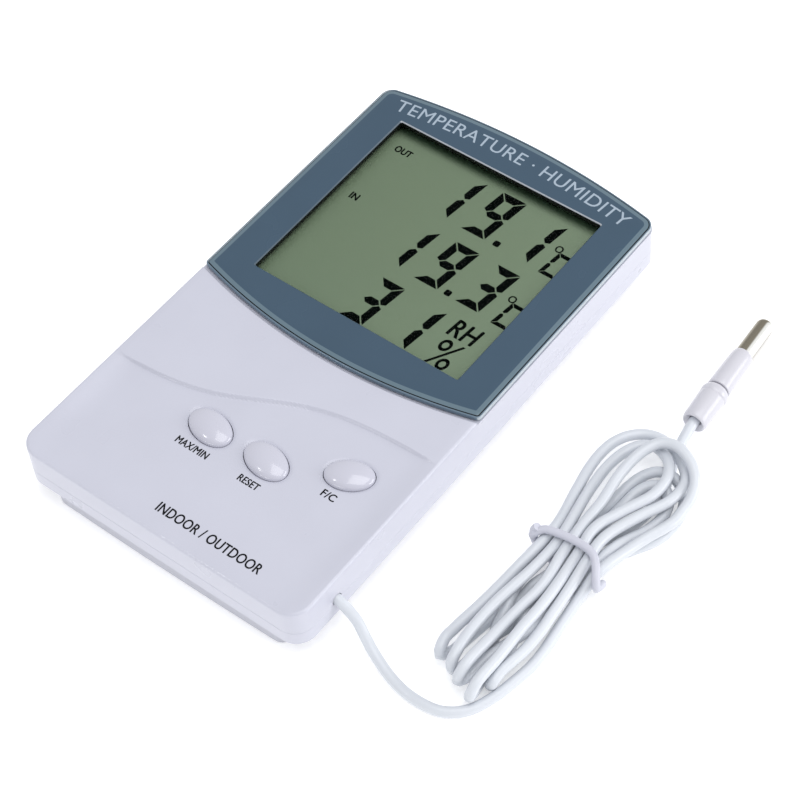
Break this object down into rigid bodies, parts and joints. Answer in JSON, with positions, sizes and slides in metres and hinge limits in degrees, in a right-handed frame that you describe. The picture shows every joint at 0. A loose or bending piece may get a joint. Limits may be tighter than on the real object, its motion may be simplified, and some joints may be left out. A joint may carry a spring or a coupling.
{
  "type": "maximum minimum thermometer",
  "caption": "Digital indoor and outdoor maximum minimum thermometer with a large display, press keys, fold-out stand and a coiled lead ending in a metal-tipped probe.",
  "frame": {"origin": "centre of the case's back face, midway between the bottom end and the display's top corners", "axes": "+Z out of the display, +Y towards the top of the display, +X towards the lead's side"},
  "size_m": [0.1479, 0.161, 0.022],
  "materials": {
    "white_gloss": "glossy cool white moulding",
    "white_satin": "satin cool white moulding",
    "bezel_glaze": "glossy blue-grey",
    "clear_window": "clear acrylic sheet",
    "lcd_glass": "grey-green reflective display with dark segments",
    "dark_rubber": "conductive silicone rubber",
    "board_green": "solder mask",
    "black_epoxy": "potting resin",
    "screw_steel": "zinc-plated",
    "spring_steel": "nickel-plated spring steel",
    "probe_metal": "polished stainless steel",
    "cell_jacket": "plain printed jacket",
    "lead_vinyl": "soft white vinyl",
    "wire_red": "wire insulation",
    "wire_black": "wire insulation"
  },
  "bodies": {
    "case": {"front_cover": "white_gloss", "display_bezel": "bezel_glaze", "window_pane": "clear_window", "lcd_panel": "lcd_glass", "lcd_frame": "white_satin", "elastomer_strip_lower": "dark_rubber", "elastomer_strip_upper": "dark_rubber", "max_min_dome": "dark_rubber", "reset_dome": "dark_rubber", "unit_dome": "dark_rubber", "rear_cover": "white_satin", "battery": "cell_jacket", "positive_contact": "spring_steel", "negative_contact": "spring_steel", "battery_spring": "spring_steel", "positive_wire": "wire_red", "negative_wire": "wire_black", "circuit_board": "board_green", "controller_blob": "black_epoxy", "crystal_can": "screw_steel", "indoor_thermistor": "black_epoxy", "humidity_sensor": "white_satin", "lead_collar": "white_satin", "lead_wire_1": "wire_red", "lead_wire_2": "wire_black", "probe_lead": "lead_vinyl", "cable_tie": "lead_vinyl", "probe_rear_sleeve": "white_gloss", "probe_front_sleeve": "white_gloss", "probe_cap": "probe_metal", "probe_thermistor": "black_epoxy", "case_screw_1": "screw_steel", "board_screw_1": "screw_steel", "case_screw_2": "screw_steel", "board_screw_2": "screw_steel", "case_screw_3": "screw_steel", "board_screw_3": "screw_steel", "case_screw_4": "screw_steel", "board_screw_4": "screw_steel"},
    "max_min_button": {"max_min_button": "white_gloss"},
    "reset_button": {"reset_button": "white_gloss"},
    "unit_button": {"unit_button": "white_gloss"},
    "stand": {"stand": "white_satin"},
    "battery_door": {"battery_door": "white_satin"}
  },
  "joints": [
    {"name": "max_min_press", "type": "slide", "parent": "case", "child": "max_min_button", "axis": [0, 0, -1], "range_m": [0, 0.0008], "stiffness_N_per_m": 900, "deforming": ["max_min_dome"]},
    {"name": "reset_press", "type": "slide", "parent": "case", "child": "reset_button", "axis": [0, 0, -1], "range_m": [0, 0.0008], "stiffness_N_per_m": 900, "deforming": ["reset_dome"]},
    {"name": "unit_press", "type": "slide", "parent": "case", "child": "unit_button", "axis": [0, 0, -1], "range_m": [0, 0.0008], "stiffness_N_per_m": 900, "deforming": ["unit_dome"]},
    {"name": "stand_fold", "type": "hinge", "parent": "case", "child": "stand", "pos_m": [0, -0.0125, 0.00175], "axis": [1, 0, 0], "range_deg": [0, 50]},
    {"name": "battery_door_slide", "type": "slide", "parent": "case", "child": "battery_door", "axis": [-1, 0, 0], "range_m": [0, 0.06]}
  ]
}
